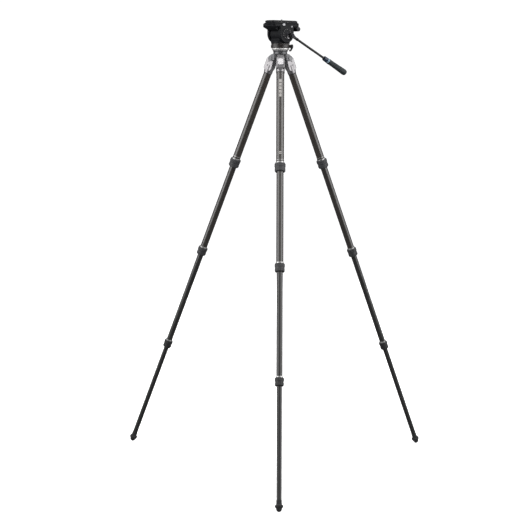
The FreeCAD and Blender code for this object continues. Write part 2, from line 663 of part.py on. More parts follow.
def handle_rosette():
    """Rosette on the left cheek, and the screw that clamps the handle to it."""
    at = V(ROSETTE_X, 0, ROSETTE_Z)
    boss = cylinder(ROSETTE_R, CHEEK_OUT, ROSETTE_FACE, Y_AXIS, at)
    boss = boss.cut(cylinder(21.4, 39, CHEEK_OUT + 1.9, Y_AXIS, V(0, 0, TILT_Z)))
    boss = boss.cut(cylinder(3, 39, ROSETTE_FACE, Y_AXIS, at))
    screw = joined([cylinder(3, CHEEK_OUT + 2, EYE_Y[1] + 0.3, Y_AXIS, at),
                    cylinder(7, EYE_Y[1] + 0.3, EYE_Y[1] + 4.3, Y_AXIS, at)])
    return group([boss, screw])


def on_handle(shape):
    """Put a shape built along +X from the handle's eye on the head."""
    placed = shape.copy()
    placed.rotate(ORIGIN, Y_AXIS, 180 - HANDLE_DROP)
    placed.translate(V(ROSETTE_X, HANDLE_Y, ROSETTE_Z))
    return placed


def handle_bar():
    """Straight bar with an eye at its root."""
    low, high = (y - HANDLE_Y for y in EYE_Y)
    eye = cylinder(ROSETTE_R, low, high, Y_AXIS)
    root = prism([(4, -6.5), (20, -4), (20, 4), (4, 6.5)], "y", low + 0.2, high - 0.2)
    rod = cylinder(HANDLE_BAR_R, 20, HANDLE_LENGTH - 7, X_AXIS)
    collar = cylinder(5.4, 15, 24, X_AXIS)
    shape = joined([eye, root, collar, rod])
    return shape.cut(cylinder(3 + RUN_CLEAR, low, high, Y_AXIS))


def handle_grip():
    """Rubber sleeve, and the two-part ring in front of it."""
    ring_outline = [(HANDLE_BAR_R, GRIP_START), (8.6, GRIP_START), (9.6, GRIP_START + 1.5),
                    (10.0, GRIP_SLEEVE), (HANDLE_BAR_R, GRIP_SLEEVE)]
    end = HANDLE_LENGTH
    sleeve_outline = [
        (HANDLE_BAR_R, GRIP_SLEEVE), (10.4, GRIP_SLEEVE), (10.8, GRIP_SLEEVE + 2),
        (10.4, GRIP_SLEEVE + 30), (11.2, end - 40), (12.0, end - 22), (12.0, end - 10),
        (10.6, end - 4), (7.5, end - 0.8), (4.0, end), (0, end), (0, end - 7), (HANDLE_BAR_R, end - 7),
    ]
    solids = []
    for outline in (ring_outline, sleeve_outline):
        turned_solid = lathe(outline)
        turned_solid.rotate(ORIGIN, Y_AXIS, 90)
        solids.append(turned_solid)
    return group(solids)


# ---- every node -----------------------------------------------------------------------------------
def leg_nodes():
    """Name and shape, about the pivot, of every node that each leg has."""
    nodes = {"leg_casting": leg_casting(), "angle_tab": angle_tab(), "foot": foot()}
    for section in range(4):
        nodes[f"tube_{section + 1}"] = leg_tube(section)
    for lock in range(3):
        nodes[f"lock_seat_{lock + 1}"] = lock_seat(lock)
        nodes[f"lock_collar_{lock + 1}"] = lock_collar(lock)
    return nodes


HUB_MAKERS = (hub, leg_pivot_bolts, platform_disc, platform_screw)
HEAD_MAKERS = (
    pan_base, bubble_level, pan_lock_knob, head_housing, drag_discs, counterbalance_spring,
    tilt_cradle, tilt_axle, plate_release_button, tilt_lock_lever, quick_release_plate, plate_pads,
    camera_screw, plate_clamp_knob, handle_rosette,
)
HANDLE_MAKERS = (handle_bar, handle_grip)


def main():
    shapes = {maker.__name__: maker() for maker in HUB_MAKERS}
    shapes.update({maker.__name__: on_head(maker()) for maker in HEAD_MAKERS})
    shapes.update({maker.__name__: on_head(on_handle(maker())) for maker in HANDLE_MAKERS})
    for name, shape in leg_nodes().items():
        for leg, azimuth in LEG_AZIMUTHS.items():
            shapes[f"{leg}_{name}"] = on_leg(shape, azimuth)
    os.makedirs("parts", exist_ok=True)
    for name, shape in shapes.items():
        if not shape.isValid() or not shape.Solids:
            print("faulty shape:", name)
        shape.exportStep(f"parts/{name}.step")
    print(len(shapes), "nodes written")


main()
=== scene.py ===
import json
import math

import bmesh
import bpy
from mathutils import Matrix, Vector


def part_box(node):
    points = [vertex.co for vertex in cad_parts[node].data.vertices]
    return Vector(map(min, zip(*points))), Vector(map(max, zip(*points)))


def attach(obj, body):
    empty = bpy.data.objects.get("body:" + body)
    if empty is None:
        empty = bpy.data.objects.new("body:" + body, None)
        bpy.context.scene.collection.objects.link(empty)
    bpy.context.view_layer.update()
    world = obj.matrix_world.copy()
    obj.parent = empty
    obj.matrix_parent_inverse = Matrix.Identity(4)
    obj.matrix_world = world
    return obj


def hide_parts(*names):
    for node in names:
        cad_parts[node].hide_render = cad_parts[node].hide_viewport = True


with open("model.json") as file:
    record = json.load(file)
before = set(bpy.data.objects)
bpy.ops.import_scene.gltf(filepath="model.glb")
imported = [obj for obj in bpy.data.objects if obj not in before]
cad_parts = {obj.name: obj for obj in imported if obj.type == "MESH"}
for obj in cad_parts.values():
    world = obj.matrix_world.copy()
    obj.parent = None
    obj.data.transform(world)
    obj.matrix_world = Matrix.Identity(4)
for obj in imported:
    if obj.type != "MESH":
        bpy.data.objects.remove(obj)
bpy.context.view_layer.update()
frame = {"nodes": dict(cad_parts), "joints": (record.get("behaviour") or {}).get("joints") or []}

MM = 0.001
LEGS = ("front", "right", "left")
JOINTS = {j["name"]: j for j in frame["joints"]}
TUBE_R = (15.3, 13.4, 11.4, 9.5)          # outer radii of the leg sections, mm
PI2 = 2 * math.pi                         # one full turn


# ---- frames of the legs, the head and the handle ------------------------------------------
def axes_matrix(x, y, z, origin):
    """Matrix whose columns are the three axes and the origin."""
    columns = [Vector(v).normalized() for v in (x, y, z)]
    matrix = Matrix.Identity(4)
    for i, column in enumerate(columns):
        for row in range(3):
            matrix[row][i] = column[row]
    matrix.translation = Vector(origin)
    return matrix


def leg_frame(leg):
    """X outward from the leg's face, Z up along the leg, origin on its pivot."""
    out = Vector(JOINTS[f"{leg}_tab_pull"]["axis"])
    up = Vector(JOINTS[f"{leg}_section_slide_2"]["axis"])
    return axes_matrix(out, up.cross(out), up, JOINTS[f"{leg}_leg_swing"]["pos_m"])


LEG = {leg: leg_frame(leg) for leg in LEGS}
HEAD_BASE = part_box("platform_disc")[1].z
HEAD = axes_matrix(JOINTS["plate_slide"]["axis"], JOINTS["tilt"]["axis"], (0, 0, 1), (0, 0, HEAD_BASE))
HUB = Matrix.Identity(4)
TILT_Z = (JOINTS["tilt"]["pos_m"][2] - HEAD_BASE) / MM


# ---- mesh helpers, all in millimetres of a local frame ---------------------------------------
def finish_piece(name, mesh, matrix, body, material, smooth=35, replaces=()):
    """Make the object of a mesh, shade it, and let it ride on its body."""
    mesh.transform(Matrix.Scale(MM, 4))
    mesh.materials.append(material)
    piece = bpy.data.objects.new(name, mesh)
    bpy.context.scene.collection.objects.link(piece)
    piece.matrix_world = matrix
    mesh.shade_smooth()
    mesh.set_sharp_from_angle(angle=math.radians(smooth))
    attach(piece, body)
    if replaces:
        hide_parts(*replaces)
    return piece


def mesh_of(bm, name):
    """Turn the working mesh into mesh data, with its normals outward."""
    bmesh.ops.recalc_face_normals(bm, faces=bm.faces)
    mesh = bpy.data.meshes.new(name)
    bm.to_mesh(mesh)
    bm.free()
    return mesh


def turned_mesh(bm, outline, steps, shape=None):
    """Turn a closed (radius, height) outline about Z; shape(i, angle) is a factor on point i's radius."""
    rings = []
    for k in range(steps):
        angle = PI2 * k / steps
        rings.append([])
        for i, (radius, height) in enumerate(outline):
            r = radius * (shape(i, angle) if shape else 1)
            rings[-1].append(bm.verts.new((r * math.cos(angle), r * math.sin(angle), height)))
    count = len(outline)
    for k in range(steps):
        a, b = rings[k], rings[(k + 1) % steps]
        for i in range(count):
            j = (i + 1) % count
            bm.faces.new((a[i], b[i], b[j], a[j]))
    bmesh.ops.remove_doubles(bm, verts=bm.verts, dist=1e-5)


def wave(angle, count, share=0.5, soft=0.25):
    """0 on the lands and 1 in the grooves of a ribbed surface, with rounded steps."""
    t = (angle / PI2 * count) % 1.0
    d = abs(t - 0.5) / 0.5
    edge = 1 - share
    return 1 - max(0.0, min(1.0, (d - edge + soft) / (2 * soft)))


def add_block(bm, size, at, turn=Matrix.Identity(4), bevel=0.0, segments=2):
    """A box with rounded edges."""
    made = bmesh.ops.create_cube(bm, size=1.0)
    verts = made["verts"]
    bmesh.ops.scale(bm, vec=Vector(size), verts=verts)
    if bevel:
        edges = {e for v in verts for e in v.link_edges}
        out = bmesh.ops.bevel(bm, geom=list(edges), offset=bevel, segments=segments,
                              profile=0.5, affect="EDGES")
        verts = list({v for f in out["faces"] for v in f.verts} | {v for v in verts if v.is_valid})
    bmesh.ops.transform(bm, matrix=Matrix.Translation(Vector(at)) @ turn, verts=verts)


def add_turned(bm, outline, steps, matrix, shape=None):
    """Turn an outline about Z, then place it in bm with matrix."""
    part = bmesh.new()
    turned_mesh(part, outline, steps, shape)
    bmesh.ops.transform(part, matrix=matrix, verts=part.verts)
    mesh = bpy.data.meshes.new("part")
    part.to_mesh(mesh)
    part.free()
    bm.from_mesh(mesh)
    bpy.data.meshes.remove(mesh)


def facing(way, at):
    """Matrix that stands local Z along way, at a point."""
    turn = Vector(way).normalized().to_track_quat("Z", "Y").to_matrix().to_4x4()
    return Matrix.Translation(Vector(at)) @ turn


def dome_cap(radius, height, crown, bevel=0.6):
    """Outline of a low cap that stands on z = 0."""
    return [(0, 0), (radius, 0), (radius, height - bevel), (radius - bevel, height),
            (radius * 0.55, height + crown * 0.7), (0, height + crown)]


def socket_head(radius, height, key, depth):
    """Outline of a cap screw with a round-cornered socket."""
    return [(0, 0), (radius, 0), (radius, height - 0.4), (radius - 0.4, height),
            (key, height), (key, height - depth), (0, height - depth)]


def rounded_outline(low, high, radius, steps=8):
    """Corner points of a rounded rectangle, counter-clockwise."""
    points = []
    for cx, cy, start in ((high[0] - radius, high[1] - radius, 0), (low[0] + radius, high[1] - radius, 90),
                          (low[0] + radius, low[1] + radius, 180), (high[0] - radius, low[1] + radius, 270)):
        for k in range(steps + 1):
            angle = math.radians(start + 90 * k / steps)
            points.append((cx + radius * math.cos(angle), cy + radius * math.sin(angle)))
    return points


# ---- materials ----------------------------------------------------------------------------------
class Look:
    """A Principled material and shorthand for the nodes that feed it."""

    def __init__(self, name, **values):
        self.material = bpy.data.materials.new(name)
        self.material.use_nodes = True
        self.tree = self.material.node_tree
        self.tree.nodes.clear()
        self.shader = self.add("ShaderNodeBsdfPrincipled")
        out = self.add("ShaderNodeOutputMaterial")
        self.join(self.shader, "BSDF", out, "Surface")
        for key, value in values.items():
            self.shader.inputs[key.replace("_", " ")].default_value = value

    def add(self, kind, **props):
        node = self.tree.nodes.new(kind)
        for key, value in props.items():
            setattr(node, key, value)
        return node

    def join(self, source, output, target, socket):
        self.tree.links.new(source.outputs[output], target.inputs[socket])

    def feed(self, target, socket, value):
        """Link an output socket, or set a number or colour."""
        if isinstance(value, bpy.types.NodeSocket):
            self.tree.links.new(value, target.inputs[socket])
        else:
            target.inputs[socket].default_value = value

    def math(self, operation, a, b=0.0, clamp=False):
        node = self.add("ShaderNodeMath", operation=operation, use_clamp=clamp)
        self.feed(node, 0, a)
        self.feed(node, 1, b)
        return node.outputs[0]

    def place(self, matrix=None):
        """Coordinates of the surface in metres, in the frame of matrix."""
        coordinates = self.add("ShaderNodeTexCoord")
        if matrix is None:
            return coordinates.outputs["Object"]
        mapping = self.add("ShaderNodeMapping", vector_type="TEXTURE")
        mapping.inputs["Location"].default_value = matrix.translation
        mapping.inputs["Rotation"].default_value = matrix.to_euler()
        self.tree.links.new(coordinates.outputs["Object"], mapping.inputs["Vector"])
        return mapping.outputs["Vector"]

    def parts(self, vector):
        node = self.add("ShaderNodeSeparateXYZ")
        self.tree.links.new(vector, node.inputs[0])
        return node.outputs

    def noise(self, vector, scale, detail=3.0, rough=0.5, stretch=None):
        if stretch:
            mapping = self.add("ShaderNodeMapping")
            mapping.inputs["Scale"].default_value = stretch
            self.tree.links.new(vector, mapping.inputs["Vector"])
            vector = mapping.outputs["Vector"]
        node = self.add("ShaderNodeTexNoise")
        node.inputs["Scale"].default_value = scale
        node.inputs["Detail"].default_value = detail
        node.inputs["Roughness"].default_value = rough
        self.tree.links.new(vector, node.inputs["Vector"])
        return node.outputs["Fac"]

    def cells(self, vector, scale):
        node = self.add("ShaderNodeTexVoronoi", feature="F1")
        node.inputs["Scale"].default_value = scale
        self.tree.links.new(vector, node.inputs["Vector"])
        return node.outputs["Distance"]

    def ramp(self, value, stops):
        """A colour ramp, given as (position, colour or grey) stops."""
        node = self.add("ShaderNodeValToRGB")
        ramp = node.color_ramp
        while len(ramp.elements) < len(stops):
            ramp.elements.new(1.0)
        for element, (position, colour) in zip(ramp.elements, stops):
            element.position = position
            grey = isinstance(colour, (int, float))
            element.color = (colour, colour, colour, 1) if grey else (*colour, 1)
        self.tree.links.new(value, node.inputs[0])
        return node.outputs["Color"]

    def mix(self, factor, a, b, blend="MIX"):
        node = self.add("ShaderNodeMix", data_type="RGBA", blend_type=blend)
        self.feed(node, 0, factor)
        self.feed(node, 6, a if isinstance(a, bpy.types.NodeSocket) else (*a, 1))
        self.feed(node, 7, b if isinstance(b, bpy.types.NodeSocket) else (*b, 1))
        return node.outputs[2]

    def edge(self, radius=0.0007, low=0.02, high=0.22):
        """1 near sharp edges, 0 on flat faces."""
        bevel = self.add("ShaderNodeBevel", samples=4)
        bevel.inputs["Radius"].default_value = radius
        geometry = self.add("ShaderNodeNewGeometry")
        dot = self.add("ShaderNodeVectorMath", operation="DOT_PRODUCT")
        self.tree.links.new(bevel.outputs[0], dot.inputs[0])
        self.tree.links.new(geometry.outputs["Normal"], dot.inputs[1])
        away = self.math("SUBTRACT", 1.0, dot.outputs["Value"])
        node = self.add("ShaderNodeMapRange", clamp=True)
        self.tree.links.new(away, node.inputs["Value"])
        node.inputs["From Min"].default_value = low
        node.inputs["From Max"].default_value = high
        return node.outputs["Result"]

    def bump(self, height, distance, strength):
        node = self.add("ShaderNodeBump")
        node.inputs["Distance"].default_value = distance
        node.inputs["Strength"].default_value = strength
        self.tree.links.new(height, node.inputs["Height"])
        return node.outputs["Normal"]

    def set(self, **values):
        """Feed the shader's sockets and return the finished material."""
        for key, value in values.items():
            self.feed(self.shader, key.replace("_", " "), value)
        return self.material


def carbon(name, matrix, radius, tint_and_shade, coat):
    """Clear-coated twill weave wound round a tube along local Z."""
    look = Look(name, Metallic=0.0, IOR=1.5, Specular_IOR_Level=0.3, Coat_Weight=coat, Coat_Roughness=0.10)
    here = look.place(matrix)
    x, y, z = look.parts(here)[:3]
    tow = 2.1 * MM                                   # width of one tow
    tows = 4 * round(PI2 * radius * MM / tow / 4)    # a multiple of the twill's repeat of four
    around = look.math("MULTIPLY", look.math("ARCTAN2", y, x), tows / PI2)
    along = look.math("DIVIDE", z, tow)
    step = look.math("ADD", look.math("FLOOR", around), look.math("FLOOR", along))
    twill = look.math("LESS_THAN", look.math("FLOORED_MODULO", step, 4.0), 1.5)
    across_a = look.math("ABSOLUTE", look.math("SUBTRACT", look.math("FRACT", around), 0.5))
    across_b = look.math("ABSOLUTE", look.math("SUBTRACT", look.math("FRACT", along), 0.5))
    crown_a = look.math("MULTIPLY", across_a, twill)
    crown_b = look.math("MULTIPLY", across_b, look.math("SUBTRACT", 1.0, twill))
    hollow = look.math("ADD", crown_a, crown_b)
    height = look.math("SUBTRACT", 0.5, hollow)
    fibres = look.noise(here, 900.0, 2.0, 0.6, (1.0, 1.0, 0.06))
    cloud = look.noise(here, 14.0, 3.0, 0.6)
    # The tint passed in carries painted shade: it is darker for the lower sections.
    base = look.mix(twill, tuple(c * 0.70 for c in tint_and_shade), tuple(c * 1.25 for c in tint_and_shade))
    base = look.mix(look.math("MULTIPLY", hollow, 1.3, True), base, (0.006, 0.006, 0.006))
    base = look.mix(look.math("MULTIPLY", fibres, 0.35), base, tuple(c * 1.6 for c in tint_and_shade))
    shade = look.ramp(cloud, [(0.3, 0.82), (0.7, 1.12)])
    base = look.mix(1.0, base, shade, "MULTIPLY")
    rough = look.math("ADD", look.math("MULTIPLY", twill, -0.10), 0.46)
    return look.set(Base_Color=base, Roughness=rough,
                    Normal=look.bump(height, 0.12 * MM, 0.7))


def cast_metal(name, colour, metallic, rough, grain=1.0, wear=0.5, coat=0.0, shine=0.5):
    """Painted or bare casting: orange-peel grain, patchy sheen, brighter worn edges."""
    look = Look(name, Metallic=metallic, Coat_Weight=coat, Coat_Roughness=0.25, Specular_IOR_Level=shine)
    here = look.place()
    patch = look.noise(here, 55.0, 4.0, 0.6)
    peel = look.noise(here, 1500.0, 2.0, 0.5)
    dust = look.noise(here, 220.0, 5.0, 0.7)
    edge = look.math("MULTIPLY", look.edge(), look.math("MULTIPLY", dust, 2.0 * wear, True))
    body = look.mix(patch, tuple(c * 0.88 for c in colour), tuple(min(1, c * 1.12) for c in colour))
    worn = tuple(min(1.0, c * 1.5 + 0.10) for c in colour)
    body = look.mix(edge, body, worn)
    scuff = look.ramp(dust, [(0.35, rough * 0.85), (0.7, min(1.0, rough * 1.25))])
    return look.set(Base_Color=body, Roughness=scuff,
                    Normal=look.bump(peel, 0.05 * MM * grain, 0.5))


def turned_metal(name, colour, rough, matrix=None, lines=2600.0, metallic=1.0):
    """Machined metal with fine turning lines, so many to the metre, along Z of matrix."""
    look = Look(name, Metallic=metallic)
    here = look.place(matrix)
    z = look.parts(here)[2]
    line = look.math("SINE", look.math("MULTIPLY", z, lines * PI2))
    haze = look.noise(here, 90.0, 4.0, 0.6)
    micro = look.noise(here, 900.0, 2.0, 0.6)
    edge = look.math("MULTIPLY", look.edge(0.0004), 0.3)
    body = look.mix(haze, tuple(c * 0.9 for c in colour), tuple(min(1, c * 1.06) for c in colour))
    body = look.mix(edge, body, tuple(min(1.0, c * 1.25 + 0.05) for c in colour))
    scuff = look.ramp(haze, [(0.3, rough * 0.8), (0.75, min(1.0, rough * 1.3))])
    both = look.math("ADD", look.math("MULTIPLY", line, 0.3), micro)
    return look.set(Base_Color=body, Roughness=scuff, Normal=look.bump(both, 0.012 * MM, 0.5))


def rubber(name, colour, rough=0.75, grain=1.0, dusty=0.5):
    """Moulded rubber with a fine stipple and paler dust on what stands proud."""
    look = Look(name, Metallic=0.0, Sheen_Weight=0.08, Sheen_Roughness=0.5, Specular_IOR_Level=0.35)
    here = look.place()
    stipple = look.noise(here, 2200.0, 2.0, 0.5)
    cloud = look.noise(here, 60.0, 4.0, 0.65)
    edge = look.edge(0.0006)
    body = look.mix(cloud, tuple(c * 0.75 for c in colour), tuple(min(1, c * 1.3) for c in colour))
    dust = look.math("MULTIPLY", edge, look.math("MULTIPLY", cloud, dusty, True))
    body = look.mix(dust, body, tuple(min(1.0, c * 2.2 + 0.03) for c in colour))
    matt = look.ramp(cloud, [(0.3, rough * 0.9), (0.7, min(1.0, rough * 1.12))])
    return look.set(Base_Color=body, Roughness=matt, Normal=look.bump(stipple, 0.04 * MM * grain, 0.6))


def moulded(name, colour, rough=0.5):
    """Moulded plastic with a spark-eroded grain."""
    look = Look(name, Metallic=0.0)
    here = look.place()
    grain = look.cells(here, 1400.0)
    cloud = look.noise(here, 70.0, 3.0, 0.6)
    edge = look.edge(0.0005)
    body = look.mix(cloud, tuple(c * 0.85 for c in colour), tuple(min(1, c * 1.2) for c in colour))
    body = look.mix(look.math("MULTIPLY", edge, 0.45), body, tuple(min(1.0, c * 1.8 + 0.03) for c in colour))
    matt = look.ramp(cloud, [(0.3, rough * 0.88), (0.7, min(1.0, rough * 1.15))])
    return look.set(Base_Color=body, Roughness=matt, Normal=look.bump(grain, 0.03 * MM, 0.5))


def vial_glass():
    """Tinted fluid and glass of the round level."""
    look = Look("level_vial", Roughness=0.05, IOR=1.45, Transmission_Weight=0.35)
    cloud = look.noise(look.place(), 300.0)
    return look.set(Base_Color=look.mix(cloud, (0.55, 0.75, 0.16), (0.70, 0.86, 0.25)))


# Tints of the sections, from the top one down: the dark brown-grey is the carbon's own, the darkening towards
# the lower sections is painted shade.
TUBE_TINT_AND_SHADE = ((0.046, 0.039, 0.033), (0.039, 0.034, 0.030), (0.030, 0.029, 0.028), (0.030, 0.029, 0.029))
TUBE_COAT = (0.90, 0.85, 0.50, 0.16)      # clear coat of the sections, from the top one down
CARBON = {(leg, k): carbon(f"carbon_{leg}_{k + 1}", LEG[leg], TUBE_R[k], TUBE_TINT_AND_SHADE[k], TUBE_COAT[k])
          for leg in LEGS for k in range(4)}
LEG_METAL = cast_metal("leg_casting_metal", (0.25, 0.242, 0.248), metallic=0.85, rough=0.38, grain=0.6,
                       wear=0.12)
TAB_METAL = cast_metal("tab_metal", (0.40, 0.392, 0.40), metallic=0.6, rough=0.42, grain=0.5, wear=0.3)
INLAY_METAL = cast_metal("tab_inlay_metal", (0.84, 0.82, 0.83), metallic=0.2, rough=0.46, grain=0.5,
                         wear=0.1)
BOLT_METAL = turned_metal("pivot_bolt_metal", (0.20, 0.20, 0.205), 0.5, lines=1500.0, metallic=0.6)
HUB_METAL = cast_metal("hub_metal", (0.10, 0.10, 0.105), metallic=0.6, rough=0.40)
DISC_METAL = turned_metal("disc_metal", (0.62, 0.61, 0.60), 0.55, metallic=0.6)
SEAT_METAL = {leg: turned_metal(f"seat_metal_{leg}", (0.44, 0.435, 0.43), 0.42, LEG[leg]) for leg in LEGS}
STEEL = turned_metal("turned_steel", (0.55, 0.55, 0.56), 0.30, lines=1500.0)
BLACK_STEEL = turned_metal("blackened_steel", (0.022, 0.022, 0.025), 0.42, lines=1500.0)
HEAD_BLACK = cast_metal("head_black", (0.006, 0.0064, 0.008), metallic=0.0, rough=0.50, grain=1.4,
                        wear=0.05, shine=0.14)
BASE_BLACK = cast_metal("base_black", (0.017, 0.013, 0.0115), metallic=0.0, rough=0.40, grain=1.2,
                        wear=0.1, coat=0.2, shine=0.4)
PLATE_BLACK = cast_metal("plate_black", (0.007, 0.0074, 0.009), metallic=0.1, rough=0.44, grain=0.5,
                         wear=0.04, shine=0.16)
BAR_BLACK = turned_metal("bar_black", (0.012, 0.012, 0.013), 0.42, metallic=0.3)
SILVER = turned_metal("button_silver", (0.26, 0.26, 0.27), 0.42, lines=1200.0, metallic=0.7)
# One rubber in three copies, darker from the top lock down: painted light and shade, lit and shaded copies of
# one material.
SHADED_COLLAR_RUBBER = [rubber(f"collar_rubber_{k + 1}", (c, c, c * 1.06), 0.5)
                 for k, c in enumerate((0.040, 0.033, 0.019))]
FOOT_RUBBER = rubber("foot_rubber", (0.016, 0.016, 0.017), 0.70, grain=1.5, dusty=0.7)
GRIP_RUBBER = rubber("grip_rubber", (0.020, 0.027, 0.030), 0.60)
PAD_RUBBER = rubber("pad_rubber", (0.018, 0.018, 0.019), 0.72)
KNOB = moulded("knob_plastic", (0.016, 0.016, 0.018), 0.48)
NAVY = moulded("ring_navy", (0.006, 0.018, 0.045), 0.35)
PALE_BLUE = moulded("ring_pale_blue", (0.25, 0.35, 0.43), 0.5)
MARK = moulded("pale_marking", (0.42, 0.40, 0.38), 0.5)
VIAL = vial_glass()

NODE_LOOK = {
    "hub": HUB_METAL, "leg_pivot_bolts": BOLT_METAL, "platform_disc": DISC_METAL, "platform_screw": STEEL,
    "pan_base": BASE_BLACK, "bubble_level": VIAL, "pan_lock_knob": KNOB, "head_housing": HEAD_BLACK,
    "drag_discs": STEEL, "counterbalance_spring": STEEL, "tilt_cradle": HEAD_BLACK,
    "tilt_axle": STEEL, "plate_release_button": SILVER, "tilt_lock_lever": KNOB,
    "quick_release_plate": PLATE_BLACK, "plate_pads": PAD_RUBBER, "camera_screw": STEEL,
    "plate_clamp_knob": KNOB, "handle_rosette": BLACK_STEEL, "handle_bar": BAR_BLACK,
    "handle_grip": GRIP_RUBBER,
}
for leg in LEGS:
    NODE_LOOK[f"{leg}_leg_casting"] = LEG_METAL
    NODE_LOOK[f"{leg}_angle_tab"] = TAB_METAL
    NODE_LOOK[f"{leg}_foot"] = FOOT_RUBBER
    for k in range(4):
        NODE_LOOK[f"{leg}_tube_{k + 1}"] = CARBON[leg, k]
    for k in range(3):
        NODE_LOOK[f"{leg}_lock_seat_{k + 1}"] = SEAT_METAL[leg]
        NODE_LOOK[f"{leg}_lock_collar_{k + 1}"] = SHADED_COLLAR_RUBBER[k]
for node, look in NODE_LOOK.items():
    materials = frame["nodes"][node].data.materials
    materials.clear()
    materials.append(look)


# ---- pieces on the legs --------------------------------------------------------------------------
def span(node, matrix):
    """Lowest and highest corner of a CAD node in a local frame, in millimetres."""
    inverse = matrix.inverted()
    points = [inverse @ v.co / MM for v in frame["nodes"][node].data.vertices]
    low = Vector(min(p[i] for p in points) for i in range(3))
    high = Vector(max(p[i] for p in points) for i in range(3))
    return low, high


def spread(points, ribs):
    """A shape function that sinks grooves into (radius, height, depth) points; ribs is (count, share)."""
    count, share = ribs

    def shape(i, angle):
        radius, _, depth = points[i]
        return 1 - depth * wave(angle, count, share) / max(radius, 0.01)
    return shape


COLLAR_RIBS = (22, 0.34)                  # how many ribs, and how much of the pitch is groove
COLLAR_OUTSIDE = (     # below the widest radius, share of the length, depth of the ribs, in mm
    (2.4, 0.0, 0), (1.1, 0.02, 0), (0.3, 0.07, 0.2), (0, 0.12, 0.8), (0, 0.24, 0.8), (0, 0.36, 0.8),
    (0.35, 0.41, 0.2), (1.2, 0.45, 0), (1.4, 0.48, 0), (1.4, 0.55, 0), (1.1, 0.59, 0),
    (0.7, 0.63, 0.2), (0.6, 0.67, 0.7), (0.6, 0.76, 0.7), (0.6, 0.86, 0.7), (0.9, 0.91, 0.2),
    (2.2, 0.96, 0), (2.8, 0.985, 0), (3.6, 1.0, 0),
)


def lock_collar(leg, lock):
    """Rubber-covered twist collar: two ribbed swellings and a waist."""
    node = f"{leg}_lock_collar_{lock + 1}"
    low, high = span(node, LEG[leg])
    top, length = high.z, high.z - low.z
    widest = (high.y - low.y) / 2
    seat_end = 14.5                                 # depth of the wider bore over the seat
    lip_top = min(top - length + 5, top - 26.6)     # just below the collet
    lip = TUBE_R[lock + 1] + 0.4                    # bore round the sliding tube
    cavity = TUBE_R[lock + 1] + 1.9                 # bore round the collet
    thread = TUBE_R[lock] + 1.5                     # bore round the seat
    points = [(widest - d, top - share * length, rib) for d, share, rib in COLLAR_OUTSIDE]
    points += [(lip, top - length, 0), (lip, lip_top, 0), (cavity, lip_top, 0),
               (cavity, top - seat_end, 0), (thread, top - seat_end, 0), (thread, top, 0)]
    bm = bmesh.new()
    turned_mesh(bm, [q[:2] for q in points], COLLAR_RIBS[0] * 8, spread(points, COLLAR_RIBS))
    finish_piece(f"{leg}_collar_rubber_{lock + 1}", mesh_of(bm, "collar"), LEG[leg],
                 f"{leg}_collar_{lock + 1}", SHADED_COLLAR_RUBBER[lock], 40, [node])


def foot_rubber(leg):
    """Rubber foot with a slim ringed sleeve, a scalloped bell and a grooved sole."""
    node = f"{leg}_foot"
    top = span(node, LEG[leg])[1].z
    ball = 11.0                 # radius of the sole
    centre = top - 30.0         # height of the sole's centre
    tube = TUBE_R[3]
    arc_steps = 18
    points = [(tube, top, 0), (10.0, top, 0), (10.3, top - 0.5, 0)]
    for k in range(4):
        z = top - 2.5 - 3.2 * k
        grow = 0.06 * k
        points += [(10.3 + grow, z, 0), (9.95 + grow, z - 0.4, 0), (9.95 + grow, z - 1.2, 0),
                   (10.35 + grow, z - 1.6, 0)]
    points += [(10.7, centre + 14.4, 0), (12.2, centre + 13.6, 0), (14.9, centre + 12.4, 0.4),
               (15.4, centre + 10.8, 0.8), (15.3, centre + 8.2, 0.8), (14.5, centre + 5.6, 0.5),
               (12.9, centre + 2.6, 0)]
    for k in range(arc_steps + 1):
        angle = math.radians(4 - 94 * k / arc_steps)
        sink = 0.55 if k % 3 == 1 and k < arc_steps - 1 else 0.0
        points.append(((ball - sink) * math.cos(angle), centre + (ball - sink) * math.sin(angle), 0))
    points[-1] = (0, centre - ball, 0)
    points += [(0, centre + 12, 0), (tube, centre + 12, 0)]
    bm = bmesh.new()
    turned_mesh(bm, [q[:2] for q in points], 160, spread(points, (20, 0.3)))
    finish_piece(f"{leg}_foot_rubber", mesh_of(bm, "foot"), LEG[leg], f"{leg}_section_4",
                 FOOT_RUBBER, 40, [node])


def ring_on_tube(name, leg, body, radius, proud, top, height, look):
    """Thin ring round a tube."""
    edge = min(0.3, proud * 0.6)
    outline = [(radius, top), (radius + proud - edge, top), (radius + proud, top - edge),
               (radius + proud, top - height + edge), (radius + proud - edge, top - height),
               (radius, top - height)]
    bm = bmesh.new()
    turned_mesh(bm, outline, 96)
    finish_piece(name, mesh_of(bm, "ring"), LEG[leg], body, look)


def tube_patch(bm, radius, half_angle, top, bottom, proud=0.12, steps=10):
    """Thin raised patch that follows the outward side of a tube."""
    rows = []
    for r, shrink in ((radius + 0.02, 0.0), (radius + proud, 0.12)):
        for z in (top - shrink, bottom + shrink):
            row = []
            for k in range(steps + 1):
                angle = (half_angle - shrink / radius) * (2 * k / steps - 1)
                row.append(bm.verts.new((r * math.cos(angle), r * math.sin(angle), z)))
            rows.append(row)
    low_top, low_bottom, top_row, bottom_row = rows
    for k in range(steps):
        bm.faces.new((top_row[k], top_row[k + 1], bottom_row[k + 1], bottom_row[k]))
        bm.faces.new((low_top[k], low_top[k + 1], top_row[k + 1], top_row[k]))
        bm.faces.new((bottom_row[k], bottom_row[k + 1], low_bottom[k + 1], low_bottom[k]))
        bm.faces.new((low_bottom[k], low_bottom[k + 1], low_top[k + 1], low_top[k]))
    for k in (0, steps):
        bm.faces.new((low_top[k], top_row[k], bottom_row[k], low_bottom[k]))


